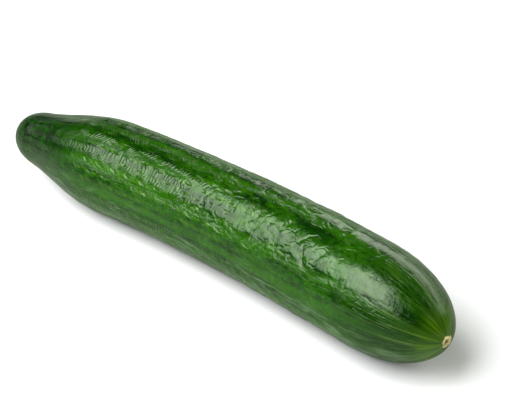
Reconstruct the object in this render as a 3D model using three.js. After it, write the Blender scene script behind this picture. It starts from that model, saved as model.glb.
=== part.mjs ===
// A greenhouse cucumber, as picked: a long, slightly bowed fruit that lies on its side.
// It narrows to a blunt neck at the stem end, where a short stub of the cut stem stands in a
// shallow dimple, and it ends in a rounded cap with the ring-shaped scar of the flower.
// Millimetres, +Z up, +X from the stem end towards the blossom end, resting on Z = 0.
import * as THREE from "three";
import { mergeVertices } from "three/addons/utils/BufferGeometryUtils.js";

// Driving dimensions of the fruit
const LENGTH = 271; // from the stem pole to the blossom pole, measured along X
const BODY_RADIUS = 24.8; // behind the neck
const FRONT_RADIUS = 25.1; // towards the blossom end
const FRONT_START = 80; // the change between them runs from here
const FRONT_END = 215; // to here
const NECK_RADIUS = 12; // what the neck narrows towards
const NECK_START = -2.4; // the widening runs from here
const NECK_END = 66.2; // to here
const KNOB_HEIGHT = 1.9; // the slight swelling at the very end of the neck
const KNOB_AT = 1.9;
const KNOB_WIDTH = 10.2;
const STEM_CAP = { length: 14.8, fullness: 1.61, power: 2.04 }; // the rounding at the stem end
const BLOSSOM_CAP = { length: 48.1, fullness: 2.28, power: 1.93 }; // the rounding at the other
const BOW = 10.7; // how far the middle stands out sideways from the line between the ends
const NECK_BEND_LENGTH = 79; // over this length from the stem pole
const NECK_SWAY = 1.4; // the neck turns back by this much
const NECK_RISE = 0.7; // and lifts by this much
const FLAT_DEPTH = 0.45; // how much the skin is pressed flat where it lies

// The dimple round the stem, and the flower's scar
const DIMPLE_DEPTH = 2.4;
const DIMPLE_RADIUS = 4.2;
const SCAR_RING_RADIUS = 2.5;
const SCAR_RING_WIDTH = 0.75;
const SCAR_RING_HEIGHT = 0.45;
const SCAR_PIT_RADIUS = 1.15;
const SCAR_PIT_DEPTH = 1.1;

// The relief of the skin. Each field of bumps has its length along the fruit, its number of
// bumps round the fruit, its height and a seed.
const DRIFT = { length: 46, around: 3, height: 0.9, seed: 11 }; // bends the other three sideways
const RIBS = { count: 9, height: 0.28, bend: 2.2 };
const SWELLINGS = { length: 17, around: 13, height: 0.55, seed: 23 };
const WRINKLES = { length: 7.5, around: 9, height: 0.3, seed: 37, bend: 0.02 };
const WRINKLES_FADE = { from: 60, to: 170, left: 0.25 }; // they are strongest near the neck
const STEM_END_RELIEF = { from: 5, to: 24 }; // the relief sets in over this distance from a pole
const BLOSSOM_END_RELIEF = { from: 4, to: 40 };
const RELIEF_MIN_RADIUS = 3;
const UNDERSIDE = { narrowness: 6, left: 0.2 }; // where it lies, little of the relief is left

// The stub of the stem
const STUB_RADIUS = 2.9;
const STUB_WAIST = 0.96; // share of its radius half way up
const STUB_RIB_HEIGHT = 0.3;
const STUB_RIBS = 5;
const STUB_BASE = 1.9; // X of its foot in the dimple, measured from the stem pole
const STUB_TOP = -0.9; // X of the rim of its cut face
const STUB_CHAMFER = 0.3;
const STUB_CROWN = 0.15; // how far the cut face bulges

// Fineness of the solids
const SIDES = 54;
const BODY_RINGS = 62;
const CAP_RINGS = 11;
const CAP_RING_REACH = 9.5; // radius of the last ring that is spaced by its radius
const CAP_RING_SPREAD = 1.15; // over 1, these rings stand closer together near the pole
const RING_CROWDING = 0.55; // and the body's rings stand closer together near the caps
const STUB_SIDES = 40;
const HALVINGS = 40; // steps that find where a cap has a given radius
const HEADING_STEP = 0.5; // the heading of the centre line is taken over twice this length
const MERGE_DISTANCE = 1e-4;

function smoothstep(from, to, x) {
  return THREE.MathUtils.smoothstep(x, from, to);
}

// A repeatable random number from 0 to 1 for each corner of a lattice.
function cornerValue(i, j, seed) {
  const s = Math.sin(i * 127.1 + j * 311.7 + seed * 74.7) * 43758.5453;
  return s - Math.floor(s);
}

// Smooth noise from -1 to 1 over the skin, which closes on itself round the fruit.
function skinNoise(along, turn, around, seed) {
  const i = Math.floor(along);
  const across = (turn - Math.floor(turn)) * around;
  const j = Math.floor(across);
  const a = THREE.MathUtils.smootherstep(along - i, 0, 1);
  const b = THREE.MathUtils.smootherstep(across - j, 0, 1);
  const corner = (di, dj) => cornerValue(i + di, (j + dj) % around, seed);
  const low = THREE.MathUtils.lerp(corner(0, 0), corner(1, 0), a);
  const high = THREE.MathUtils.lerp(corner(0, 1), corner(1, 1), a);
  return 2 * THREE.MathUtils.lerp(low, high, b) - 1;
}

// The radius without its end caps.
function trunkRadius(x) {
  const neck = THREE.MathUtils.lerp(NECK_RADIUS, BODY_RADIUS, smoothstep(NECK_START, NECK_END, x));
  const front = (FRONT_RADIUS - BODY_RADIUS) * smoothstep(FRONT_START, FRONT_END, x);
  return neck + front + KNOB_HEIGHT * Math.exp(-(((x - KNOB_AT) / KNOB_WIDTH) ** 2));
}

// The share of the trunk's radius that a cap leaves at a distance from its pole.
function capShare(cap, fromPole) {
  const t = THREE.MathUtils.clamp(1 - fromPole / cap.length, 0, 1);
  return (1 - t ** cap.fullness) ** (1 / cap.power);
}

function fruitRadius(x) {
  return trunkRadius(x) * capShare(STEM_CAP, x) * capShare(BLOSSOM_CAP, LENGTH - x);
}

// Distance from a pole at which the cap has reached a given radius, found by halving.
function depthAtRadius(radius, radiusAtDepth, longest) {
  let near = 0;
  let far = longest;
  for (let step = 0; step < HALVINGS; step++) {
    const middle = (near + far) / 2;
    if (radiusAtDepth(middle) < radius) near = middle;
    else far = middle;
  }
  return far;
}

// The outline from the stem pole to the blossom pole, as points of radius and X.
function fruitOutline() {
  const radii = [];
  for (let k = 0; k < CAP_RINGS; k++) {
    radii.push(CAP_RING_REACH * (k / (CAP_RINGS - 1)) ** CAP_RING_SPREAD);
  }
  const stemEnd = radii.map((r) => {
    const depth = depthAtRadius(r, fruitRadius, STEM_CAP.length);
    const dimple = DIMPLE_DEPTH * Math.exp(-((r / DIMPLE_RADIUS) ** 4));
    return new THREE.Vector2(r, depth + dimple);
  });
  const blossomEnd = radii.map((r) => {
    const depth = depthAtRadius(r, (d) => fruitRadius(LENGTH - d), BLOSSOM_CAP.length);
    const ring = SCAR_RING_HEIGHT * Math.exp(-(((r - SCAR_RING_RADIUS) / SCAR_RING_WIDTH) ** 2));
    const pit = SCAR_PIT_DEPTH * Math.exp(-((r / SCAR_PIT_RADIUS) ** 2));
    return new THREE.Vector2(r, LENGTH - depth + ring - pit);
  });
  const from = stemEnd.at(-1).y;
  const to = blossomEnd.at(-1).y;
  const body = [];
  for (let k = 1; k < BODY_RINGS; k++) {
    const share = k / BODY_RINGS;
    const eased = share - (RING_CROWDING * Math.sin(2 * Math.PI * share)) / (2 * Math.PI);
    const x = THREE.MathUtils.lerp(from, to, eased);
    body.push(new THREE.Vector2(fruitRadius(x), x));
  }
  return [...stemEnd, ...body, ...blossomEnd.reverse()];
}

// One field of bumps, which may be shifted along and round the fruit.
function bumps(field, x, turn, shiftAlong, shiftRound) {
  const along = x / field.length + shiftAlong;
  return field.height * skinNoise(along, turn + shiftRound, field.around, field.seed);
}

// How far the skin stands out from the plain round form, at X and at a turn from 0 to 1.
function relief(x, turn, radius) {
  const drift = bumps(DRIFT, x, turn, 0, 0);
  const ribs = RIBS.height * Math.cos(2 * Math.PI * RIBS.count * turn + RIBS.bend * drift);
  const swellings = bumps(SWELLINGS, x, turn, drift, 0);
  const wrinkles = bumps(WRINKLES, x, turn, 0, WRINKLES.bend * drift);
  const fading = smoothstep(WRINKLES_FADE.from, WRINKLES_FADE.to, x);
  const height = ribs + swellings + wrinkles * THREE.MathUtils.lerp(1, WRINKLES_FADE.left, fading);
  const ends =
    smoothstep(STEM_END_RELIEF.from, STEM_END_RELIEF.to, x) *
    smoothstep(BLOSSOM_END_RELIEF.from, BLOSSOM_END_RELIEF.to, LENGTH - x) *
    smoothstep(RELIEF_MIN_RADIUS, NECK_RADIUS, radius);
  const underside = Math.max(0, -Math.sin(2 * Math.PI * turn)) ** UNDERSIDE.narrowness;
  return height * ends * THREE.MathUtils.lerp(1, UNDERSIDE.left, underside);
}

// The bowed centre line of the fruit, before the part is centred on its origin.
function centreLine(x) {
  const along = (2 * x) / LENGTH - 1;
  const neck = Math.max(0, 1 - x / NECK_BEND_LENGTH) ** 2;
  const side = -BOW * along * along + NECK_SWAY * neck;
  return new THREE.Vector3(x, side, FRONT_RADIUS - FLAT_DEPTH + NECK_RISE * neck);
}

// Carries a point of the straight fruit (X along it, height and side round it) onto the bowed one.
function bowed(x, side, height) {
  const anchor = THREE.MathUtils.clamp(x, 0, LENGTH);
  const behind = centreLine(anchor - HEADING_STEP);
  const heading = centreLine(anchor + HEADING_STEP).sub(behind).normalize();
  const across = new THREE.Vector3(-heading.y, heading.x, 0);
  return centreLine(anchor)
    .addScaledVector(heading, x - anchor)
    .addScaledVector(across, side)
    .add(new THREE.Vector3(0, 0, height));
}

// Merges the seam and the poles, so that the surface is one closed body.
function closed(geometry) {
  geometry.deleteAttribute("normal");
  geometry.deleteAttribute("uv");
  const merged = mergeVertices(geometry, MERGE_DISTANCE);
  const corners = merged.index.array;
  const kept = [];
  for (let k = 0; k < corners.length; k += 3) {
    const [a, b, c] = corners.slice(k, k + 3);
    if (a !== b && b !== c && c !== a) kept.push(a, b, c);
  }
  merged.setIndex(kept);
  merged.computeVertexNormals();
  return merged;
}

// Turns a lathed form, which stands on Y, into one along X, and gives each vertex its final place.
function shaped(outline, sides, place) {
  const geometry = new THREE.LatheGeometry(outline, sides);
  const position = geometry.getAttribute("position");
  for (let k = 0; k < position.count; k++) {
    const x = position.getY(k);
    const radius = Math.hypot(position.getX(k), position.getZ(k));
    const turn = (Math.floor(k / outline.length) % sides) / sides;
    const point = place(x, radius, turn);
    position.setXYZ(k, point.x, point.y, point.z);
  }
  return closed(geometry);
}

function fruitGeometry() {
  return shaped(fruitOutline(), SIDES, (x, radius, turn) => {
    const reach = radius < MERGE_DISTANCE ? 0 : radius + relief(x, turn, radius);
    const angle = 2 * Math.PI * turn;
    const point = bowed(x, reach * Math.cos(angle), reach * Math.sin(angle));
    point.z = Math.max(point.z, 0);
    return point;
  });
}

function stubGeometry() {
  const outline = [
    new THREE.Vector2(0, STUB_BASE),
    new THREE.Vector2(STUB_RADIUS, STUB_BASE),
    new THREE.Vector2(STUB_RADIUS * STUB_WAIST, (STUB_BASE + STUB_TOP) / 2),
    new THREE.Vector2(STUB_RADIUS, STUB_TOP + STUB_CHAMFER),
    new THREE.Vector2(STUB_RADIUS - STUB_CHAMFER, STUB_TOP),
    new THREE.Vector2(0, STUB_TOP - STUB_CROWN),
  ].reverse();
  return shaped(outline, STUB_SIDES, (x, radius, turn) => {
    const angle = 2 * Math.PI * turn;
    const ribs = STUB_RIB_HEIGHT * (Math.cos(STUB_RIBS * angle) - 1) * (radius / STUB_RADIUS);
    const reach = radius < MERGE_DISTANCE ? 0 : radius + ribs;
    return bowed(x, reach * Math.cos(angle), reach * Math.sin(angle));
  });
}

const skinMaterial = new THREE.MeshStandardMaterial({
  name: "cucumber skin",
  color: new THREE.Color().setRGB(0.05, 0.2, 0.025),
  roughness: 0.3,
  metalness: 0,
});
const stemMaterial = new THREE.MeshStandardMaterial({
  name: "cut stem",
  color: new THREE.Color().setRGB(0.36, 0.44, 0.17),
  roughness: 0.75,
  metalness: 0,
});

const fruit = new THREE.Mesh(fruitGeometry(), skinMaterial);
fruit.name = "fruit";
const stub = new THREE.Mesh(stubGeometry(), stemMaterial);
stub.name = "stem_stub";

// The origin is on the surface that the fruit lies on, under the middle of its bounding box.
const cucumber = new THREE.Group();
cucumber.add(fruit, stub);
const middle = new THREE.Box3().setFromObject(cucumber).getCenter(new THREE.Vector3());
for (const mesh of cucumber.children) mesh.geometry.translate(-middle.x, -middle.y, 0);

export default cucumber;
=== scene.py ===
import math

import bpy
import numpy as np
from mathutils import Matrix, Vector


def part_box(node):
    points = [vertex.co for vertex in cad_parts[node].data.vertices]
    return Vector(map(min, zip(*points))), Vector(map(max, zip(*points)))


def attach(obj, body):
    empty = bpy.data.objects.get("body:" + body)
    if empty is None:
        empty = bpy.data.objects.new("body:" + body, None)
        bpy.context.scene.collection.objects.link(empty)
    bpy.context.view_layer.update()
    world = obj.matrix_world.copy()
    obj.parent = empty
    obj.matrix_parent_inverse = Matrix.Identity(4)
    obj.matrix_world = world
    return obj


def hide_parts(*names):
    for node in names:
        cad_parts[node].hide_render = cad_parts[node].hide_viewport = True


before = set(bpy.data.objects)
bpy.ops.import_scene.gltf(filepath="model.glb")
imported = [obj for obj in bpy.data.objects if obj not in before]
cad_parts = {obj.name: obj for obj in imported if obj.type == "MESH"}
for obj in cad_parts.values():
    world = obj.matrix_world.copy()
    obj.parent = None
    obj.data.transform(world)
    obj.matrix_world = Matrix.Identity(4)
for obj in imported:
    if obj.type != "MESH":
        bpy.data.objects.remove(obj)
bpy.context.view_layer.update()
bpy.ops.object.select_all(action="DESELECT")

# The camera
# It looks down on the fruit from the blossom end's side, as the photograph does. Its place and
# lens are those that bring the fruit's outline onto the photograph's.
CAMERA_AZIMUTH = math.radians(39.7)
CAMERA_ELEVATION = math.radians(34.0)
CAMERA_DISTANCE = 0.632
CAMERA_AIM = Vector((0.0103, 0.0156, 0.0312))
CAMERA_LENS = 91.4
CAMERA_FILM = 36

towards_camera = Vector((
    math.sin(CAMERA_AZIMUTH) * math.cos(CAMERA_ELEVATION),
    -math.cos(CAMERA_AZIMUTH) * math.cos(CAMERA_ELEVATION),
    math.sin(CAMERA_ELEVATION),
))
bpy.ops.object.camera_add(location=CAMERA_AIM + CAMERA_DISTANCE * towards_camera)
camera = bpy.context.object
camera.rotation_euler = towards_camera.to_track_quat("Z", "Y").to_euler()
camera.data.sensor_fit = "HORIZONTAL"
camera.data.sensor_width = CAMERA_FILM
camera.data.lens = CAMERA_LENS
bpy.context.scene.camera = camera

# The fruit
# One grown piece: firm pale flesh under a thin waxy dark green skin, widest towards the
# blossom end, with the stalk's stub grown into a dimple at the other. It is spun here as a
# straight blank, gets its relief, and is bowed last.
MM = 0.001

# The outline in millimetres: X runs from the stem pole to the blossom pole.
LENGTH = 271
BODY_RADIUS = 24.8
FRONT_RADIUS = 25.1
FRONT_START = 80
FRONT_END = 215
NECK_RADIUS = 12
NECK_START = -2.4
NECK_END = 66.2
KNOB_HEIGHT = 1.9  # the slight swelling at the very end of the neck
KNOB_AT = 1.9
KNOB_WIDTH = 10.2
STEM_CAP = {"length": 14.8, "fullness": 1.61, "power": 2.04}
BLOSSOM_CAP = {"length": 48.1, "fullness": 2.28, "power": 1.93}

# How the fruit bows and lies: its middle line in plan and in height.
BOW = 10.7
NECK_BEND_LENGTH = 79
NECK_SWAY = 1.4
NECK_RISE = 0.7
FLAT_DEPTH = 0.45  # how far the flat strip that it rests on cuts into it

# The poles: the dimple round the stub, and the ring and pit that the flower left.
DIMPLE_DEPTH = 2.4
DIMPLE_RADIUS = 4.2
DIMPLE_STEEPNESS = 4
SCAR_RING_RADIUS = 2.5
SCAR_RING_WIDTH = 0.75
SCAR_RING_HEIGHT = 0.45
SCAR_PIT_RADIUS = 1.15
SCAR_PIT_DEPTH = 1.1
POLE_REACH = 12  # the relief of the poles stays within this radius

# The mesh of the blank. Its rings stand closer by these extra shares within these ranges.
FRUIT_COLUMNS = 54
FRUIT_RINGS = 112
FRUIT_SUBDIVISIONS = 2
OUTLINE_SAMPLES = 6001
MERGE_DISTANCE = 0.001
POLE_RINGS = 2.2
POLE_RINGS_RADIUS = (4, 14)
NECK_RINGS = 0.45
NECK_RINGS_ALONG = (110, 150)


def smoothstep(low, high, x):
    t = np.clip((x - low) / (high - low), 0, 1)
    return t * t * (3 - 2 * t)


def cap_share(cap, from_pole):
    """The share of the trunk's radius that a cap leaves at a distance from its pole."""
    t = np.clip(1 - from_pole / cap["length"], 0, 1)
    return (1 - t ** cap["fullness"]) ** (1 / cap["power"])


def fruit_radius(x):
    """The outline of the fruit without its relief."""
    neck = NECK_RADIUS + (BODY_RADIUS - NECK_RADIUS) * smoothstep(NECK_START, NECK_END, x)
    front = (FRONT_RADIUS - BODY_RADIUS) * smoothstep(FRONT_START, FRONT_END, x)
    knob = KNOB_HEIGHT * np.exp(-(((x - KNOB_AT) / KNOB_WIDTH) ** 2))
    ends = cap_share(STEM_CAP, x) * cap_share(BLOSSOM_CAP, LENGTH - x)
    return (neck + front + knob) * ends


def ring_density(x, radius):
    """How close together the rings stand: closest at the poles, close where the neck wrinkles."""
    poles = POLE_RINGS * (1 - smoothstep(*POLE_RINGS_RADIUS, radius))
    wrinkles = NECK_RINGS * (1 - smoothstep(*NECK_RINGS_ALONG, x))
    return 1 + poles + wrinkles


def outline_points():
    """The outline from pole to pole, with a point for each ring of the blank."""
    x = LENGTH * (0.5 - 0.5 * np.cos(np.linspace(0, math.pi, OUTLINE_SAMPLES)))
    radius = fruit_radius(x)
    steps = np.hypot(np.diff(x), np.diff(radius)) * ring_density(x, radius)[1:]
    travelled = np.concatenate([[0], np.cumsum(steps)])
    stops = np.linspace(0, travelled[-1], FRUIT_RINGS + 1)
    return np.interp(stops, travelled, x), np.interp(stops, travelled, radius)


def make_finer(piece, levels):
    """Rounds a piece's mesh by subdividing it."""
    subdivision = piece.modifiers.new("finer", "SUBSURF")
    subdivision.levels = levels
    subdivision.render_levels = levels
    bpy.ops.object.modifier_apply(modifier=subdivision.name)


# The blank is turned like on a lathe: its outline is drawn out point by point and spun.
ring_x, ring_radius = outline_points()
bpy.ops.mesh.primitive_circle_add(vertices=3, radius=1)
fruit = bpy.context.object
fruit.name = "fruit_skin"
bpy.ops.object.mode_set(mode="EDIT")
bpy.ops.mesh.merge(type="CENTER")
bpy.ops.transform.translate(value=(ring_x[0], 0, ring_radius[0]))
for k in range(FRUIT_RINGS):
    stride = (ring_x[k + 1] - ring_x[k], 0, ring_radius[k + 1] - ring_radius[k])
    bpy.ops.mesh.extrude_region_move(TRANSFORM_OT_translate={"value": stride})
bpy.ops.mesh.select_all(action="SELECT")
bpy.ops.mesh.spin(
    steps=FRUIT_COLUMNS, angle=2 * math.pi, center=(0, 0, 0), axis=(1, 0, 0), dupli=False
)
bpy.ops.mesh.select_all(action="SELECT")
bpy.ops.mesh.remove_doubles(threshold=MERGE_DISTANCE)
bpy.ops.mesh.normals_make_consistent(inside=False)
bpy.ops.object.mode_set(mode="OBJECT")
make_finer(fruit, FRUIT_SUBDIVISIONS)

# The relief. Each field of soft bumps has its height, the length of a bump along the fruit, the
# number of bumps round it, and a seed. A pair is the range in which something sets in.
# First the form that shows from a step away: ribs, swellings and cross wrinkles.
DRIFT = (0.9, 46, 3, 11)
RIB_COUNT = 9
RIB_HEIGHT = 0.28
RIB_BEND = 2.2
SWELLINGS = (0.55, 17, 13, 23)
WRINKLES = (0.3, 7.5, 9, 37)
WRINKLES_BEND = 0.02
WRINKLES_FADE = (60, 170)
WRINKLES_LOST = 0.75

# Low ridges run along the fruit.
RIDGES = 13
RIDGE_AT = 0.3687  # where round the fruit the crest of one ridge runs
RIDGE_SWAY = (0.14, 34, 9, 51)
RIDGE_HEIGHT = 0.085
RIDGE_FLANK = (-0.7, 0.2)
RIDGES_START = (25, 60)
RIDGE_LEAST = 0.65
RIDGE_UNEVENNESS = (0.35, 6, 30, 73)

# Fish-bone wrinkles arch over each ridge of the neck's half, in patches and in spots.
FISH_BONE_PITCH = 1.9
FISH_BONE_ARCH = 1.6
FISH_BONE_HEIGHT = 0.07
FISH_BONE_START = (36, 62)
FISH_BONE_END = (115, 165)
FISH_BONE_FLANK = (-1.0, -0.1)
FISH_BONE_SWAY = 0.5
SLOW_SWAY = (1, 9, 16, 53)
QUICK_SWAY = (0.7, 3.5, 44, 54)
FISH_BONE_PATCHES = (1, 16, 12, 57)
PATCH_EDGE = (-1.1, -0.2)
FISH_BONE_SPOTS = (1, 3.4, 40, 58)
SPOT_EDGE = (-0.5, 0.6)
SPOT_LEAST = 0.15

# Slanted dents stand in rows.
DENT_ROWS = 34
DENT_PITCH = 9.4
DENT_SWAY = (0.12, 30, 11, 56)
DENT_SEED = 59

# Furrows wander along the flanks.
FURROW_DRIFT = (1, 30, 7, 55)
FURROW_DRIFT_ALONG = 0.4
FURROW_DRIFT_ROUND = 0.012
FURROWS = (1, 24, 42, 61)
FURROW_DEPTH = 0.12
FURROW_WIDTH = 0.24
FURROWS_START = (50, 95)
TOP_OF_SKIN = (0.3, 0.75)
FURROWS_LOST_ON_TOP = 0.85

# Flat scales cover the front half, and small pebbles everything.
SCALE_LENGTH = 14
SCALE_HEIGHT = 0.26
SCALE_EDGE = (0, 0.35)
SCALE_SEED = 67
SCALES_START = (100, 150)
SCALE_WARP_ALONG = (2.4, 7, 22, 63)
SCALE_WARP_ROUND = (0.014, 9, 18, 65)
CELL_MARGIN = 0.1  # how far from its square's edge the centre of a cell stays
PEBBLES = (0.06, 4.2, 36, 71)

# How much of the relief is left at the front, at the neck, at the poles and underneath.
SMOOTH_FRONT = (200, 235)
LOST_IN_FRONT = 0.6
FORM_SHARE = 0.2  # how much of the form's relief shows at the neck
FORM_SHARE_MORE = 0.2  # and how much more of it past the neck
FORM_SHARE_RISE = (80, 140)
STEM_END_RELIEF = (5, 24)
BLOSSOM_END_RELIEF = (4, 40)
RELIEF_RADIUS = (3, 12)
UNDERSIDE_NARROWNESS = 6
LOST_UNDERNEATH = 0.8

# Large uneven numbers that scramble the corners of the bumps' lattice.
SCRAMBLE_ALONG = 127.1
SCRAMBLE_ROUND = 311.7
SCRAMBLE_SEED = 74.7
SCRAMBLE_STRETCH = 43758.5453


def corner_value(i, j, seed):
    """A repeatable random number from 0 to 1 for each corner of a lattice."""
    angle = i * SCRAMBLE_ALONG + j * SCRAMBLE_ROUND + seed * SCRAMBLE_SEED
    value = np.sin(angle) * SCRAMBLE_STRETCH
    return value - np.floor(value)


def corner_fade(t):
    """A step from 0 to 1 that is smooth at both corners."""
    return t * t * t * (t * (t * 6 - 15) + 10)


def skin_noise(along, turn, around, seed):
    """Smooth noise from -1 to 1 over the skin, which closes on itself round the fruit."""
    across = (turn - np.floor(turn)) * around
    i = np.floor(along)
    j = np.floor(across)
    a = corner_fade(along - i)
    b = corner_fade(across - j)
    this, following = j % around, (j + 1) % around
    near = corner_value(i, this, seed) * (1 - a) + corner_value(i + 1, this, seed) * a
    far = corner_value(i, following, seed) * (1 - a) + corner_value(i + 1, following, seed) * a
    return 2 * (near * (1 - b) + far * b) - 1


def bumps(field, x, turn, shift_along=0.0, shift_round=0.0):
    """The height of a field of soft bumps, which may be shifted along and round the fruit."""
    height, length, around, seed = field
    return height * skin_noise(x / length + shift_along, turn + shift_round, around, seed)


def form_relief(x, turn):
    """The ribs, swellings and cross wrinkles that give the fruit its form from a step away."""
    drift = bumps(DRIFT, x, turn)
    ribs = RIB_HEIGHT * np.cos(2 * math.pi * RIB_COUNT * turn + RIB_BEND * drift)
    swellings = bumps(SWELLINGS, x, turn, drift)
    wrinkles = bumps(WRINKLES, x, turn, 0, WRINKLES_BEND * drift)
    return ribs + swellings + wrinkles * (1 - WRINKLES_LOST * smoothstep(*WRINKLES_FADE, x))


def cell_borders(along, turn, around, seed):
    """A net of cells with one in each square of a lattice: 0 on a border, up to 1 in a cell."""
    across = (turn - np.floor(turn)) * around
    i = np.floor(along)
    j = np.floor(across)
    nearest = np.full(along.shape, np.inf)
    second = np.full(along.shape, np.inf)
    freedom = 1 - 2 * CELL_MARGIN
    for di in (-1, 0, 1):
        for dj in (-1, 0, 1):
            column = (j + dj) % around
            centre_along = i + di + CELL_MARGIN + freedom * corner_value(i + di, column, seed)
            centre_across = j + dj + CELL_MARGIN + freedom * corner_value(i + di, column, seed + 1)
            distance = np.hypot(along - centre_along, across - centre_across)
            second = np.minimum(second, np.maximum(nearest, distance))
            nearest = np.minimum(nearest, distance)
    return np.clip(second - nearest, 0, 1)


def across_ridge(x, turn):
    """The place across the lengthwise ridges, from -0.5 to 0.5 with 0 on a crest."""
    phase = RIDGES * (turn - RIDGE_AT) + bumps(RIDGE_SWAY, x, turn)
    return phase - np.round(phase)


def ridge_crest(x, turn):
    """1 on the crest of a ridge, -1 in the valley between two."""
    return np.cos(2 * math.pi * across_ridge(x, turn))


def wrinkle_rows(x, turn):
    """Fish-bone wrinkles arched over each ridge: their count along the fruit, their strength."""
    sway = bumps(SLOW_SWAY, x, turn) + bumps(QUICK_SWAY, x, turn)
    arch = FISH_BONE_ARCH * (1 - 4 * across_ridge(x, turn) ** 2)
    count = x / FISH_BONE_PITCH - arch + FISH_BONE_SWAY * sway
    strength = smoothstep(*PATCH_EDGE, bumps(FISH_BONE_PATCHES, x, turn))
    spots = smoothstep(*SPOT_EDGE, bumps(FISH_BONE_SPOTS, x, turn))
    strength = strength * (SPOT_LEAST + (1 - SPOT_LEAST) * spots)
    stretch = smoothstep(*FISH_BONE_START, x) * (1 - smoothstep(*FISH_BONE_END, x))
    return count, strength * stretch * smoothstep(*FISH_BONE_FLANK, ridge_crest(x, turn))


def dent_rows(x, turn):
    """Rows of slanted dents: the sine and cosine across a row and the count along it."""
    row = DENT_ROWS * (turn - RIDGE_AT) + bumps(DENT_SWAY, x, turn)
    count = x / DENT_PITCH + corner_value(np.round(row) % DENT_ROWS, 0, DENT_SEED)
    return np.sin(2 * math.pi * row), np.cos(2 * math.pi * row), count


def fine_ridges(x, turn):
    """The low lengthwise ridges with the fish-bone wrinkles over them."""
    ridges = RIDGE_HEIGHT * smoothstep(*RIDGE_FLANK, ridge_crest(x, turn))
    ridges = ridges * smoothstep(*RIDGES_START, x)
    ridges = ridges * (RIDGE_LEAST + bumps(RIDGE_UNEVENNESS, x, turn))
    count, strength = wrinkle_rows(x, turn)
    return ridges + FISH_BONE_HEIGHT * np.abs(np.sin(math.pi * count)) * strength


def long_furrows(x, turn):
    """Furrows that wander along the flanks."""
    drift = bumps(FURROW_DRIFT, x, turn)
    middle = bumps(FURROWS, x, turn, FURROW_DRIFT_ALONG * drift, FURROW_DRIFT_ROUND * drift)
    flank = 1 - FURROWS_LOST_ON_TOP * smoothstep(*TOP_OF_SKIN, np.sin(2 * math.pi * turn))
    depth = FURROW_DEPTH * np.exp(-((middle / FURROW_WIDTH) ** 2))
    return -depth * smoothstep(*FURROWS_START, x) * flank


def front_scales(x, turn):
    """Flat scales on the front half, parted by fine valleys."""
    warped_x = x + bumps(SCALE_WARP_ALONG, x, turn)
    warped_turn = turn + bumps(SCALE_WARP_ROUND, x, turn)
    scales = cell_borders(warped_x / SCALE_LENGTH, warped_turn, RIDGES, SCALE_SEED)
    return SCALE_HEIGHT * smoothstep(*SCALE_EDGE, scales) * smoothstep(*SCALES_START, x)


def fine_relief(x, turn):
    """What is too fine for the solid: ridges, cross wrinkles, scales and long furrows."""
    smooth_front = 1 - LOST_IN_FRONT * smoothstep(*SMOOTH_FRONT, x)
    grainy = (front_scales(x, turn) + bumps(PEBBLES, x, turn)) * smooth_front
    return fine_ridges(x, turn) + long_furrows(x, turn) + grainy


def centre_line(x):
    """The fruit's middle line: how far it bows to the side, and its height."""
    along = 2 * x / LENGTH - 1
    neck = np.maximum(0, 1 - x / NECK_BEND_LENGTH) ** 2
    side = -BOW * along * along + NECK_SWAY * neck
    return side, FRONT_RADIUS - FLAT_DEPTH + NECK_RISE * neck


def grown_place(x, reach, turn):
    """Points of the straight fruit, carried to their places on the bowed one, in metres."""
    across = reach * np.cos(2 * math.pi * turn)
    up = reach * np.sin(2 * math.pi * turn)
    anchor = np.clip(x, 0, LENGTH)
    line_side, line_height = centre_line(anchor)
    slope = centre_line(anchor + 0.5)[0] - centre_line(anchor - 0.5)[0]
    cosine = 1 / np.sqrt(1 + slope * slope)
    return np.stack([
        anchor + (x - anchor) * cosine - across * slope * cosine,
        line_side + (x - anchor) * slope * cosine + across * cosine,
        np.maximum(0, line_height + up),
    ], axis=1) * MM


def blank_points(piece):
    """A straight blank's points: along its axis, out from it, and round it from 0 to 1."""
    flat = np.zeros(len(piece.data.vertices) * 3)
    piece.data.vertices.foreach_get("co", flat)
    x, side, height = flat.reshape(-1, 3).T
    return x, np.hypot(side, height), np.arctan2(height, side) / (2 * math.pi) % 1


def keep_vectors(piece, name, *parts):
    """Three numbers kept on each point of a piece, for its material."""
    attribute = piece.data.attributes.new(name, "FLOAT_VECTOR", "POINT")
    attribute.data.foreach_set("vector", np.stack(parts, axis=1).astype(np.float32).ravel())


def keep_values(piece, name, values):
    """One number kept on each point of a piece, for its material."""
    attribute = piece.data.attributes.new(name, "FLOAT", "POINT")
    attribute.data.foreach_set("value", values.astype(np.float32))


x, radius, turn = blank_points(fruit)
smooth_ends = smoothstep(*STEM_END_RELIEF, x) * smoothstep(*BLOSSOM_END_RELIEF, LENGTH - x)
smooth_ends = smooth_ends * smoothstep(*RELIEF_RADIUS, radius)
underside = np.maximum(0, -np.sin(2 * math.pi * turn)) ** UNDERSIDE_NARROWNESS
form_share = FORM_SHARE + FORM_SHARE_MORE * smoothstep(*FORM_SHARE_RISE, x)
raised = form_relief(x, turn) * form_share + fine_relief(x, turn)
raised = raised * smooth_ends * (1 - LOST_UNDERNEATH * underside)
at_pole = smoothstep(0, POLE_REACH, POLE_REACH - radius)
dimple = DIMPLE_DEPTH * np.exp(-((radius / DIMPLE_RADIUS) ** DIMPLE_STEEPNESS)) * at_pole
ring = SCAR_RING_HEIGHT * np.exp(-(((radius - SCAR_RING_RADIUS) / SCAR_RING_WIDTH) ** 2))
pit = SCAR_PIT_DEPTH * np.exp(-((radius / SCAR_PIT_RADIUS) ** 2))
grown_x = x + dimple * (x < LENGTH / 2) + (ring - pit) * at_pole * (x > LENGTH / 2)
grown = grown_place(grown_x, radius + raised, turn)
solid_low, solid_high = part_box("fruit")
centring = np.array([
    solid_high.x - grown[:, 0].max(),
    (solid_low.y + solid_high.y - grown[:, 1].min() - grown[:, 1].max()) / 2,
    0,
])
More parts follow.
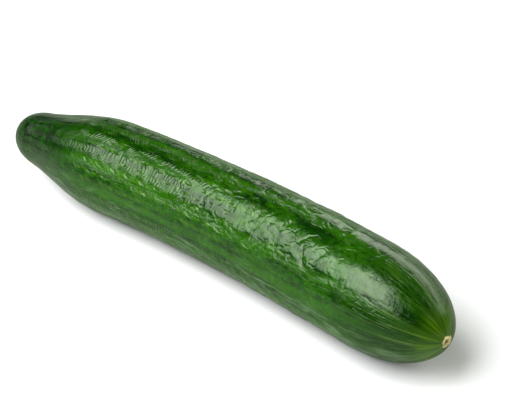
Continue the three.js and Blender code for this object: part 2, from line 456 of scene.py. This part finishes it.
fruit.data.vertices.foreach_set("co", (grown + centring).ravel())
bpy.ops.object.shade_smooth()

# Each point keeps its place on the skin, in body radii: round the fruit and along it.
keep_vectors(
    fruit, "skin_place", np.cos(2 * math.pi * turn), np.sin(2 * math.pi * turn), x / BODY_RADIUS
)
keep_vectors(fruit, "wrinkles", *wrinkle_rows(x, turn), ridge_crest(x, turn))
keep_vectors(fruit, "dents", *dent_rows(x, turn))
from_scar = np.where(x > LENGTH / 2, radius, POLE_REACH)
keep_values(fruit, "scar_distance", np.minimum(from_scar, POLE_REACH))


def add_node(tree, kind, inputs=None, **settings):
    """A shader node with its settings and with its inputs given as values or as sockets."""
    node = tree.nodes.new(kind)
    for name, value in settings.items():
        setattr(node, name, value)
    for name, value in (inputs or {}).items():
        if isinstance(value, bpy.types.NodeSocket):
            tree.links.new(value, node.inputs[name])
        else:
            node.inputs[name].default_value = value
    return node


def new_material(name):
    material = bpy.data.materials.new(name)
    material.use_nodes = True
    material.node_tree.nodes.clear()
    return material, material.node_tree


def calculated(tree, operation, first, second=0.0):
    return add_node(tree, "ShaderNodeMath", {0: first, 1: second}, operation=operation).outputs[0]


def times(tree, product, *factors):
    for factor in factors:
        product = calculated(tree, "MULTIPLY", product, factor)
    return product


def plus(tree, total, *terms):
    for term in terms:
        total = calculated(tree, "ADD", total, term)
    return total


def minus(tree, first, second):
    return calculated(tree, "SUBTRACT", first, second)


def vector_plus(tree, first, second):
    return add_node(tree, "ShaderNodeVectorMath", {0: first, 1: second}).outputs[0]


def read_vector(tree, name):
    return add_node(tree, "ShaderNodeAttribute", attribute_name=name).outputs["Vector"]


def read_value(tree, name):
    return add_node(tree, "ShaderNodeAttribute", attribute_name=name).outputs["Fac"]


def three_parts(tree, vector):
    return add_node(tree, "ShaderNodeSeparateXYZ", {0: vector}).outputs


def mixed(tree, share, first, second):
    """Two colours mixed by a share."""
    node = add_node(tree, "ShaderNodeMix", data_type="RGBA")
    for socket, value in ((node.inputs[0], share), (node.inputs[6], first), (node.inputs[7], second)):
        if isinstance(value, bpy.types.NodeSocket):
            tree.links.new(value, socket)
        else:
            socket.default_value = value
    return node.outputs[2]


def ranged(tree, value, low, high, to_low=0.0, to_high=1.0):
    """A value carried smoothly from one range to another."""
    return add_node(tree, "ShaderNodeMapRange", {
        "Value": value, "From Min": low, "From Max": high, "To Min": to_low, "To Max": to_high,
    }, interpolation_type="SMOOTHSTEP").outputs["Result"]


def scaled_place(tree, place, scale):
    return add_node(tree, "ShaderNodeMapping", {"Vector": place, "Scale": scale}).outputs["Vector"]


def noise_at(tree, place, detail, distortion=0.0, scale=1.0):
    return add_node(tree, "ShaderNodeTexNoise", {
        "Vector": place, "Scale": scale, "Detail": detail, "Distortion": distortion,
    }).outputs


def noise(tree, place, stretch, detail, distortion=0.0):
    """Noise on a place that is stretched by its three scales."""
    return noise_at(tree, scaled_place(tree, place, stretch), detail, distortion)["Fac"]


def valleys(tree, cloud, width):
    """Fine valleys along the middle value of a noise: 0 in a valley, 1 beyond its width."""
    from_middle = calculated(tree, "ABSOLUTE", minus(tree, cloud, 0.5))
    return ranged(tree, from_middle, 0.0, width)


PATCH_DISTORTION = 0.4


def patchiness_group():
    """The uneven colour of grown tissue: patches of a given stretch, from 0 to 1."""
    group = bpy.data.node_groups.new("grown_patches", "ShaderNodeTree")
    for name, kind in (
        ("Place", "Vector"), ("Stretch", "Vector"), ("Detail", "Float"),
        ("Low", "Float"), ("High", "Float"),
    ):
        group.interface.new_socket(name, in_out="INPUT", socket_type="NodeSocket" + kind)
    group.interface.new_socket("Patches", in_out="OUTPUT", socket_type="NodeSocketFloat")
    given = add_node(group, "NodeGroupInput").outputs
    stretched = add_node(group, "ShaderNodeVectorMath", {
        0: given["Place"], 1: given["Stretch"],
    }, operation="MULTIPLY").outputs[0]
    cloud = noise_at(group, stretched, given["Detail"], PATCH_DISTORTION)["Fac"]
    add_node(group, "NodeGroupOutput", {
        "Patches": ranged(group, cloud, given["Low"], given["High"]),
    })
    return group


grown_patches = patchiness_group()


def patches(tree, place, stretch, low, high, detail=4.0):
    """Patches from 0 to 1, placed with their own stretch and limits."""
    node = tree.nodes.new("ShaderNodeGroup")
    node.node_tree = grown_patches
    for name, value in (("Stretch", stretch), ("Detail", detail), ("Low", low), ("High", high)):
        node.inputs[name].default_value = value
    tree.links.new(place, node.inputs["Place"])
    return node.outputs["Patches"]


# The colours of the skin and of the scar.
SKIN_DARK = (0.0015, 0.017, 0.0008, 1)
SKIN_GREEN = (0.0045, 0.043, 0.0004, 1)
SKIN_LIGHT = (0.02, 0.1, 0.0006, 1)
SKIN_PALE = (0.085, 0.22, 0.008, 1)
SKIN_NECK = (0.0007, 0.005, 0.001, 1)
SKIN_BLOSSOM = (0.085, 0.2, 0.0007, 1)
SKIN_LINES = (0.08, 0.17, 0.012, 1)
# Painted sheen: the pale grey-green of the table as the skin reflects it low on its flanks.
PAINTED_SHEEN = (0.09, 0.16, 0.07, 1)
SCAR_TAN = (0.85, 0.7, 0.34, 1)
SCAR_BROWN = (0.24, 0.12, 0.04, 1)

# Patches on the skin. Each has its stretch (how many to a body radius, twice across the fruit and
# once along it), the values of the noise between which it sets in, and its detail if not the usual.
STREAKS = ((6, 6, 0.6), 0.4, 0.6)
MOTTLING = ((2.6, 2.6, 1.2), 0.4, 0.66)
FLECKS = ((9, 9, 4), 0.48, 0.62)
SPECKS = ((16, 16, 9), 0.5, 0.62)
NECK_BLOTCHES = ((4.5, 4.5, 11), 0.4, 0.66, 6)
MERIDIANS = ((24, 24, 1.2), 0.5, 0.7)
DENT_PATCHES = ((6, 6, 2.5), 0.44, 0.56, 2)
CREASE_PATCHES = ((2, 2, 2), 0.4, 0.6, 2)
# The patches of the painted sheen lines, which stand in for the table's reflection.
SHEEN_LINE_PATCHES = ((4, 4, 1.2), 0.44, 0.62)
CELL_PATCHES = ((3, 3, 3), 0.46, 0.6, 2)

# Noise on the skin. Each has its stretch in the same way, its detail, and its distortion if any.
DENT_NOISE = ((9, 9, 9), 2)
WEDGE_NOISE = ((7, 7, 0.6), 2)
SCAR_NOISE = ((2.4, 2.4, 40), 4)
CREASE_NOISE = ((3.0, 3.0, 2.7), 1, 0.6)
LONG_LINE_NOISE = ((8, 8, 0.9), 2, 0.7)
CROSS_NOISE = ((4, 4, 22), 3, 0.8)
NECK_CROSS_NOISE = ((7, 7, 26), 3, 1.2)
GRAIN_NOISE = ((34, 34, 22), 4)

# Where something sets in: from one place to another, and from one strength to another where
# that isn't 0 to 1. Along the fruit the places are in body radii from the stem pole.
END = LENGTH / BODY_RADIUS
NECK = (3.0, 0.8)
DENTS_START = (1.8, 2.8)
DENTS_FADE = (8.0, 5.6, 0.15, 1.0)
DARKER_END = (END - 2.2, END - 1.0)
MERIDIANS_START = (END - 2.1, END - 0.2)
YELLOW_START = (END - 0.5, END - 0.02)
CREASES_GROW = (3.0, 6.0, 0.4, 1.6)
CREASES_END = (END - 2.0, END - 3.2, 0.55, 1.0)
CROSS_FADE = (END - 3.4, END - 2.0, 1.2, 0.35)
HAIRS_FADE = (END - 3.4, END - 2.0, 0.38, 0.22)
CELLS_GROW = (4.0, 6.0, 0.0, 2.0)
CELLS_END = (END - 1.7, END - 2.7)
# Upwards they run from -1 at the underside to 1 on top, and so they do towards the far side.
MOTTLING_UPWARD = (-0.1, 0.7, 0.32, 0.6)
DENTS_ON_FLANK = (0.1, 0.5, 0.3, 1.0)
DENTS_ON_TOP = (0.9, 0.97, 1.0, 0.35)
LONG_LINES_LOW = (0.75, 0.35, 0.0, 0.6)
LONG_LINES_FAR = (0.15, 0.45, 0.0, 0.8)
LONG_LINES_AT_NECK = 0.6
# The painted sheen lines keep to the underside, where the skin reflects the table.
SHEEN_LINES_LOW = (0.3, -0.2)
# From the middle of the scar they are in millimetres.
TAN_RADIUS = (2.85, 2.25)
BROWN_RADIUS = (1.25, 0.5)
DULL_RADIUS = (3.0, 2.2, 0.0, 0.4)

# The dents: their half length and half width in millimetres, and what bends them.
DENT_HALF_LENGTH = 3.4
DENT_HALF_WIDTH = 1.25
DENT_SLANT = 0.3
DENT_RAGGEDNESS = 1.6
DENT_ROW_EDGE = (0.0, 0.4)
DENT_HOLLOW = (1.0, 0.2)
DENT_LIP = (2.0, 1.0)

# The other marks: how wide their valleys are, how many there are, and how they end.
CREASE_WIDTH = 0.07
LONG_LINE_WIDTH = 0.1
HAIR_WIDTH = 0.06
HAIRS_TO_A_WRINKLE = 1.5
HAIR_WANDER = (4, 4, 4)
CELL_SCALE = 2.0
CELL_BORDER = (0.0, 0.1)
CELL_WARP = (0.9, 0.9, 0.9)
PORE_SPACING = (5, 5, 5)
PORE_EDGE = (0.05, 0.1)
VALLEY_EDGE = (0.0, -0.7)
YELLOW_STEEPNESS = 1.4
YELLOW_WEDGES = (0.38, 0.6, 0.25, 1.0)
SCAR_RAGGEDNESS = 3.4
SCAR_SHIFT = 1.95
SKIN_ROUGHNESS = (0.16, 0.21)  # of the body and of the neck
SKIN_TINT = (0.8, 1.0, 0.7, 1)  # the wax tints what it reflects
BUMP_UNIT = 0.0001

skin, tree = new_material("cucumber_skin")
place = read_vector(tree, "skin_place")
far_side, upward, along = three_parts(tree, place)
wrinkle_count, wrinkle_strength, crest = three_parts(tree, read_vector(tree, "wrinkles"))
neckward = ranged(tree, along, *NECK)


def dent_masks():
    """The hollow of each slanted dent and the lip round it, from 0 to 1."""
    sine, cosine, count = three_parts(tree, read_vector(tree, "dents"))
    dent_along = times(tree, minus(tree, calculated(tree, "FRACT", count), 0.5), DENT_PITCH)
    ragged = minus(tree, noise(tree, place, *DENT_NOISE), 0.5)
    dent_across = times(tree, sine, BODY_RADIUS / DENT_ROWS)
    dent_across = plus(tree, dent_across, times(tree, ragged, DENT_RAGGEDNESS))
    dent_across = minus(tree, dent_across, times(tree, dent_along, DENT_SLANT))
    reach = add_node(tree, "ShaderNodeCombineXYZ", {
        "X": calculated(tree, "DIVIDE", dent_along, DENT_HALF_LENGTH),
        "Y": calculated(tree, "DIVIDE", dent_across, DENT_HALF_WIDTH),
    }).outputs["Vector"]
    reach = add_node(tree, "ShaderNodeVectorMath", {0: reach}, operation="LENGTH").outputs["Value"]
    share = times(
        tree, ranged(tree, cosine, *DENT_ROW_EDGE), ranged(tree, along, *DENTS_START),
        ranged(tree, along, *DENTS_FADE), patches(tree, place, *DENT_PATCHES),
        ranged(tree, upward, *DENTS_ON_FLANK), ranged(tree, upward, *DENTS_ON_TOP),
    )
    hollow = times(tree, ranged(tree, reach, *DENT_HOLLOW), share)
    lip = times(tree, ranged(tree, reach, *DENT_LIP), share)
    return hollow, lip


def yellow_end():
    """The yellow of the blossom end, in wedges that run towards the scar."""
    reach = calculated(tree, "POWER", ranged(tree, along, *YELLOW_START), YELLOW_STEEPNESS)
    return times(tree, reach, ranged(tree, noise(tree, place, *WEDGE_NOISE), *YELLOW_WEDGES))


def scar_reach():
    """The distance from the middle of the scar in millimetres, made ragged."""
    ragged = times(tree, noise(tree, place, *SCAR_NOISE), SCAR_RAGGEDNESS)
    return minus(tree, plus(tree, read_value(tree, "scar_distance"), ragged), SCAR_SHIFT)


def crease_height():
    """Soft creases that part the skin into blisters."""
    return times(
        tree, valleys(tree, noise(tree, place, *CREASE_NOISE), CREASE_WIDTH),
        ranged(tree, along, *CREASES_GROW), ranged(tree, along, *CREASES_END),
        patches(tree, place, *CREASE_PATCHES),
    )


def cross_height():
    """Fine wrinkles across the fruit, most of them at the neck."""
    body = times(tree, noise(tree, place, *CROSS_NOISE), ranged(tree, along, *CROSS_FADE))
    return plus(tree, body, times(tree, noise(tree, place, *NECK_CROSS_NOISE), neckward))


def cell_height():
    """Small sunken borders of cells on the front half."""
    warp = noise_at(tree, place, 2.0, scale=CELL_SCALE)["Color"]
    warp = add_node(
        tree, "ShaderNodeVectorMath", {0: warp, 1: CELL_WARP}, operation="MULTIPLY"
    ).outputs[0]
    cells = add_node(tree, "ShaderNodeTexVoronoi", {
        "Vector": vector_plus(tree, place, warp), "Scale": CELL_SCALE,
    }, feature="DISTANCE_TO_EDGE").outputs["Distance"]
    return times(
        tree, minus(tree, ranged(tree, cells, *CELL_BORDER), 1.0),
        patches(tree, place, *CELL_PATCHES),
        ranged(tree, along, *CELLS_GROW), ranged(tree, along, *CELLS_END),
    )


def hair_height():
    """Hair lines that follow the fish-bone wrinkles."""
    count = times(tree, wrinkle_count, HAIRS_TO_A_WRINKLE)
    count = add_node(tree, "ShaderNodeCombineXYZ", {"X": count}).outputs[0]
    wander = scaled_place(tree, place, HAIR_WANDER)
    hairs = noise_at(tree, vector_plus(tree, count, wander), 2.0)["Fac"]
    return times(tree, valleys(tree, hairs, HAIR_WIDTH), ranged(tree, along, *HAIRS_FADE))


hollow, lip = dent_masks()
scar = scar_reach()
meridians = patches(tree, place, *MERIDIANS)
meridians = times(tree, meridians, ranged(tree, along, *MERIDIANS_START))
long_lines = valleys(tree, noise(tree, place, *LONG_LINE_NOISE), LONG_LINE_WIDTH)
# Painted reflection: pale lines of sheen along the long lines low on the flanks, in place of the
# table's reflection.
sheen_lines = times(
    tree, minus(tree, 1.0, long_lines), ranged(tree, upward, *SHEEN_LINES_LOW),
    patches(tree, place, *SHEEN_LINE_PATCHES),
)
pores = add_node(tree, "ShaderNodeTexVoronoi", {
    "Vector": scaled_place(tree, place, PORE_SPACING), "Scale": 1.0,
}).outputs["Distance"]
pores = ranged(tree, pores, *PORE_EDGE)
neck_colour = mixed(tree, patches(tree, place, *NECK_BLOTCHES), SKIN_NECK, SKIN_GREEN)

# The skin's colour grows in layers over its streaks: where one lies, how strong it is, its paint.
# The last of them is painted sheen, the table's reflection, and no colour of the skin.
mottling = times(tree, patches(tree, place, *MOTTLING), ranged(tree, upward, *MOTTLING_UPWARD))
colour = mixed(tree, patches(tree, place, *STREAKS), SKIN_DARK, SKIN_GREEN)
for where, strength, paint in (
    (mottling, 1.0, SKIN_LIGHT),
    (patches(tree, place, *FLECKS), 0.45, SKIN_LIGHT),
    (patches(tree, place, *SPECKS), 0.6, SKIN_DARK),
    (ranged(tree, crest, *VALLEY_EDGE), 0.4, SKIN_LIGHT),
    (lip, 0.3, SKIN_PALE),
    (hollow, 0.8, SKIN_GREEN),
    (neckward, 0.95, neck_colour),
    (ranged(tree, along, *DARKER_END), 0.55, SKIN_DARK),
    (yellow_end(), 0.8, SKIN_BLOSSOM),
    (meridians, 0.5, SKIN_LINES),
    (ranged(tree, scar, *TAN_RADIUS), 1.0, SCAR_TAN),
    (ranged(tree, scar, *BROWN_RADIUS), 1.0, SCAR_BROWN),
    # painted sheen: the table's reflection in the long lines low down
    (sheen_lines, 0.65, PAINTED_SHEEN),
):
    colour = mixed(tree, times(tree, where, strength), colour, paint)
colour = mixed(tree, pores, SKIN_DARK, colour)

# The long lines show in the relief low on the flanks, most on the far side, and at the neck.
flank = ranged(tree, upward, *LONG_LINES_LOW)
flank = calculated(tree, "MAXIMUM", flank, ranged(tree, far_side, *LONG_LINES_FAR))
flank = calculated(tree, "MAXIMUM", flank, times(tree, neckward, LONG_LINES_AT_NECK))
wrinkle = calculated(tree, "SINE", times(tree, wrinkle_count, math.pi))
wrinkle = times(tree, calculated(tree, "ABSOLUTE", wrinkle), wrinkle_strength)

# The finest relief is the sum of these, each with its height in tenths of a millimetre.
height = crease_height()
for mark, mark_height in (
    (cross_height(), 1.0),
    (pores, 0.5),
    (noise(tree, place, *GRAIN_NOISE), 0.25),
    (times(tree, long_lines, flank), 1.0),
    (cell_height(), 1.0),
    (meridians, 0.7),
    (hair_height(), 1.0),
    (wrinkle, 2.0),
    (hollow, -3.4),
):
    height = plus(tree, height, times(tree, mark, mark_height))
bump = add_node(tree, "ShaderNodeBump", {"Height": height, "Strength": 1.0, "Distance": BUMP_UNIT})
roughness = ranged(tree, neckward, 0, 1, *SKIN_ROUGHNESS)
roughness = plus(tree, roughness, ranged(tree, scar, *DULL_RADIUS))
shader = add_node(tree, "ShaderNodeBsdfPrincipled", {
    "Base Color": colour, "Roughness": roughness, "Normal": bump.outputs["Normal"], "IOR": 1.5,
    "Specular Tint": SKIN_TINT,
})
add_node(tree, "ShaderNodeOutputMaterial", {"Surface": shader.outputs["BSDF"]})
fruit.data.materials.append(skin)
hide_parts("fruit")
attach(fruit, "root")
bpy.ops.object.select_all(action="DESELECT")

# The stem stub
# The cut end of the stalk, dried hard and pale: five blunt ribs of tough fibre grown into the
# dimple of the neck, cut off square. The cut face has a corky rim and a soft sunken pith.
STUB_RADIUS = 2.9
STUB_ROOT = 2.8
STUB_ROOT_RADIUS = STUB_RADIUS * 1.15
STUB_TOP = -0.9
STUB_SIDES = 60
STUB_SUBDIVISIONS = 2
# Each step outwards has its place on the fruit's axis and how much it scales the ring.
STUB_STEPS = (
    (2.0, 0.88), (1.1, 0.98), (0.2, 1.01), (-0.55, 1.02), (-0.8, 0.97), (STUB_TOP, 0.93),
)
# Each inset of the cut face has its width and how far it moves along the axis.
STUB_FACE = ((0.32, 0.05), (0.3, 0.0), (0.35, -0.08), (0.45, -0.1), (0.4, -0.06), (0.35, 0.05))
STUB_RIBS = 5
STUB_RIB_HEIGHT = 0.28
STUB_RIB_SINK = 0.12
STUB_FLANK = (0.55, 0.95)  # from here to here, in shares of its radius, the ribs and fibres set in
STUB_FIBRES = (0.07, 3, 44, 91)
STUB_FINE_FIBRES = (0.03, 0.8, 90, 93)
STUB_TORN = (0.06, 0.625, 26, 95)
STUB_FINE_TORN = (0.04, 0.25, 50, 97)
STUB_TORN_AT = -0.6

bpy.ops.mesh.primitive_circle_add(
    vertices=STUB_SIDES, radius=STUB_ROOT_RADIUS, location=(0, 0, 0), rotation=(0, -math.pi / 2, 0)
)
stub = bpy.context.object
stub.name = "cut_stub"
bpy.ops.object.transform_apply(location=True, rotation=True, scale=True)
bpy.ops.object.mode_set(mode="EDIT")
bpy.ops.mesh.select_all(action="SELECT")
bpy.ops.transform.translate(value=(STUB_ROOT, 0, 0))
stub_at = STUB_ROOT
for step_at, step_scale in STUB_STEPS:
    bpy.ops.mesh.extrude_region_move(TRANSFORM_OT_translate={"value": (step_at - stub_at, 0, 0)})
    bpy.ops.transform.resize(value=(1, step_scale, step_scale), center_override=(step_at, 0, 0))
    stub_at = step_at
bpy.ops.mesh.edge_face_add()
for inset_width, inset_move in STUB_FACE:
    bpy.ops.mesh.inset(thickness=inset_width)
    bpy.ops.transform.translate(value=(-inset_move, 0, 0))
bpy.ops.mesh.select_all(action="SELECT")
bpy.ops.mesh.normals_make_consistent(inside=False)
bpy.ops.object.mode_set(mode="OBJECT")
make_finer(stub, STUB_SUBDIVISIONS)

x, radius, turn = blank_points(stub)
on_flank = smoothstep(*STUB_FLANK, radius / STUB_RADIUS)
fibres = bumps(STUB_FIBRES, x, turn) + bumps(STUB_FINE_FIBRES, x, turn)
ribs = STUB_RIB_HEIGHT * np.cos(2 * math.pi * STUB_RIBS * turn) - STUB_RIB_SINK
reach = radius * (1 + (ribs + fibres) / STUB_RADIUS * on_flank)
torn = bumps(STUB_TORN, radius, turn) + bumps(STUB_FINE_TORN, radius, turn)
grown = grown_place(x + torn * (x < STUB_TORN_AT), reach, turn)
stub.data.vertices.foreach_set("co", (grown + centring).ravel())
bpy.ops.object.shade_smooth()
keep_vectors(stub, "stub_place", np.cos(2 * math.pi * turn), np.sin(2 * math.pi * turn), x)
keep_values(stub, "from_middle", radius / STUB_RADIUS)

# Its colours, patches and ranges, given as those of the skin are.
STALK_GREEN = (0.075, 0.13, 0.028, 1)
STALK_PALE = (0.26, 0.31, 0.1, 1)
STALK_CORK = (0.36, 0.25, 0.12, 1)
STALK_PITH = (0.5, 0.45, 0.24, 1)
STALK_DARK = (0.12, 0.075, 0.03, 1)
FIBRE_PATCHES = ((9, 9, 0.5), 0.38, 0.64)
CORK_PATCHES = ((4, 4, 2), 0.3, 0.6)
PITH_PATCHES = ((7, 7, 3), 0.4, 0.62)
STALK_GRAIN = ((16, 16, 3), 4)
STALK_GRAIN_HEIGHT = 0.00012
STALK_ROUGHNESS = (0.6, 0.78)
CORKY_ALONG = (0.2, -0.7)
CUT_ALONG = (-0.72, -0.82)
PITH_CENTRE = (0.5, 0.2)
CUT_RIM = (0.78, 0.92)

stalk, tree = new_material("stem_stub_fibre")
place = read_vector(tree, "stub_place")
middle = read_value(tree, "from_middle")
outward = three_parts(tree, place)["Z"]
fibre = patches(tree, place, *FIBRE_PATCHES)
corky = times(tree, ranged(tree, outward, *CORKY_ALONG), patches(tree, place, *CORK_PATCHES))
face = mixed(tree, patches(tree, place, *PITH_PATCHES), STALK_PITH, STALK_CORK)
face = mixed(tree, ranged(tree, middle, *PITH_CENTRE), face, STALK_DARK)
face = mixed(tree, ranged(tree, middle, *CUT_RIM), face, STALK_CORK)
colour = mixed(tree, fibre, STALK_GREEN, STALK_PALE)
colour = mixed(tree, corky, colour, STALK_CORK)
colour = mixed(tree, ranged(tree, outward, *CUT_ALONG), colour, face)
bump = add_node(tree, "ShaderNodeBump", {
    "Height": noise(tree, place, *STALK_GRAIN), "Strength": 1.0, "Distance": STALK_GRAIN_HEIGHT,
})
shader = add_node(tree, "ShaderNodeBsdfPrincipled", {
    "Base Color": colour, "Roughness": ranged(tree, fibre, 0, 1, *STALK_ROUGHNESS),
    "Normal": bump.outputs["Normal"],
})
add_node(tree, "ShaderNodeOutputMaterial", {"Surface": shader.outputs["BSDF"]})
stub.data.materials.append(stalk)
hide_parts("stem_stub")
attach(stub, "root")
bpy.ops.object.select_all(action="DESELECT")

# The table
# A plain pale surface that the fruit lies on. It shows darker and greener in the gloss of the
# fruit than to the eye, and far away it fades into the white surroundings.
TABLE_SIZE = 6
TABLE_WHITE = (0.86, 0.86, 0.87, 1)
TABLE_IN_GLOSS = (0.33, 0.39, 0.29, 1)
TABLE_FAR = (0.45, 1.1)
SURROUNDINGS = 0.88

bpy.ops.mesh.primitive_plane_add(size=TABLE_SIZE, location=(0, 0, 0))
table = bpy.context.object
table.name = "table"
table_paint, tree = new_material("pale_table")
rays = add_node(tree, "ShaderNodeLightPath").outputs
paint = mixed(tree, rays["Is Glossy Ray"], TABLE_WHITE, TABLE_IN_GLOSS)
middle = add_node(tree, "ShaderNodeTexCoord").outputs["Object"]
far = add_node(tree, "ShaderNodeVectorMath", {0: middle}, operation="LENGTH").outputs["Value"]
far = times(tree, ranged(tree, far, *TABLE_FAR, 0.0, SURROUNDINGS), rays["Is Camera Ray"])
shader = add_node(tree, "ShaderNodeBsdfPrincipled", {
    "Base Color": paint, "Roughness": 0.7, "Emission Color": (1, 1, 1, 1), "Emission Strength": far,
})
add_node(tree, "ShaderNodeOutputMaterial", {"Surface": shader.outputs["BSDF"]})
table.data.materials.append(table_paint)
bpy.ops.object.select_all(action="DESELECT")

# The studio light
# A long softbox above, on the camera's side and towards the stem end, a low wide one behind, a
# small low one beyond the stem end, and a weak fill in front that leaves no glint.
SOFTBOX_CENTRE = Vector((-0.482, -0.524, 0.640))
SOFTBOX_FACING = Vector((0, -0.36, 0.933))
SOFTBOX_SIZE = (1.25, 0.8)
SOFTBOX_POWER = 27.5
SOFTBOX_DIM = 0.16  # how bright its stem end is
SOFTBOX_TAPER = 0.2  # how much narrower it is there, in metres
SOFTBOX_TWIST = math.radians(11.5)
BACK_CENTRE = Vector((0.2, 1.05, 0.58))
BACK_FACING = Vector((0, 0.876, 0.482))
BACK_SIZE = (1.85, 0.55)
BACK_POWER = 11
BACK_TINT = (0.95, 1.0, 0.88)
LEFT_CENTRE = Vector((-1.35, 0.87, 0.25))
LEFT_FACING = Vector((-0.83, 0.52, 0.2)).normalized()
LEFT_SIZE = (0.4, 0.22)
LEFT_POWER = 0.7
FRONT_CENTRE = Vector((0.45, -0.97, 0.71))
FRONT_FACING = Vector((0.35, -0.75, 0.55)).normalized()
FRONT_SIZE = (1.6, 1.2)
FRONT_POWER = 6.5
DIM_STRETCH = (-0.5, 0.4)  # the shares of a light's length between which it dims
EDGE_STRETCH = (-0.001, 0.03)  # from here to here past its drawn-in edge it gets its strength
FILL = 0.015
GLOSS_FILL = 0.0015


def product_with(tree, vector, direction):
    return add_node(
        tree, "ShaderNodeVectorMath", {0: vector, 1: direction}, operation="DOT_PRODUCT"
    ).outputs["Value"]


def add_softbox(name, centre, facing, size, power, twist=0.0, dim=1.0, taper=0.0):
    """A flat light that faces one way, and dims and narrows towards the stem end."""
    bpy.ops.object.light_add(type="AREA", location=centre)
    light = bpy.context.object
    light.name = name
    long_side = (Vector((1, 0, 0)) - facing * facing.x).normalized()
    short_side = facing.cross(long_side)
    turned = long_side * math.cos(twist) + short_side * math.sin(twist)
    other = facing.cross(turned)
    light.rotation_euler = Matrix((turned, other, facing)).transposed().to_euler()
    light.data.shape = "RECTANGLE"
    light.data.size, light.data.size_y = size
    light.data.energy = power
    light.visible_camera = False
    light.data.use_nodes = True
    lamp = light.data.node_tree
    spot = add_node(lamp, "ShaderNodeNewGeometry").outputs["Position"]
    spot = add_node(
        lamp, "ShaderNodeVectorMath", {0: spot, 1: centre}, operation="SUBTRACT"
    ).outputs[0]
    length = product_with(lamp, spot, turned)
    width = product_with(lamp, spot, other)
    dim_from, dim_to = DIM_STRETCH
    glow = ranged(lamp, length, dim_from * size[0], dim_to * size[0], dim, 1.0)
    inside = plus(lamp, width, times(lamp, length, taper / size[0]))
    edge = 0.5 * (taper - size[1])
    edge_from, edge_to = EDGE_STRETCH
    glow = times(lamp, glow, ranged(lamp, inside, edge + edge_from, edge + edge_to))
    lamp.links.new(glow, lamp.nodes["Emission"].inputs["Strength"])
    return light


add_softbox(
    "softbox", SOFTBOX_CENTRE, SOFTBOX_FACING, SOFTBOX_SIZE, SOFTBOX_POWER, SOFTBOX_TWIST,
    SOFTBOX_DIM, SOFTBOX_TAPER
)
back = add_softbox("back_light", BACK_CENTRE, BACK_FACING, BACK_SIZE, BACK_POWER)
back.data.color = BACK_TINT
left = add_softbox("left_light", LEFT_CENTRE, LEFT_FACING, LEFT_SIZE, LEFT_POWER)
left.data.color = BACK_TINT
front = add_softbox("front_fill", FRONT_CENTRE, FRONT_FACING, FRONT_SIZE, FRONT_POWER)
front.visible_glossy = False

# The surroundings are white to the eye, and give little light.
world = bpy.data.worlds.new("studio")
world.use_nodes = True
tree = world.node_tree
rays = add_node(tree, "ShaderNodeLightPath").outputs
fill = ranged(tree, rays["Is Glossy Ray"], 0, 1, FILL, GLOSS_FILL)
fill = calculated(tree, "MAXIMUM", fill, times(tree, rays["Is Camera Ray"], SURROUNDINGS))
background = tree.nodes["Background"]
background.inputs["Color"].default_value = (1, 1, 1, 1)
tree.links.new(fill, background.inputs["Strength"])
bpy.context.scene.world = world
bpy.context.scene.view_settings.view_transform = "Standard"
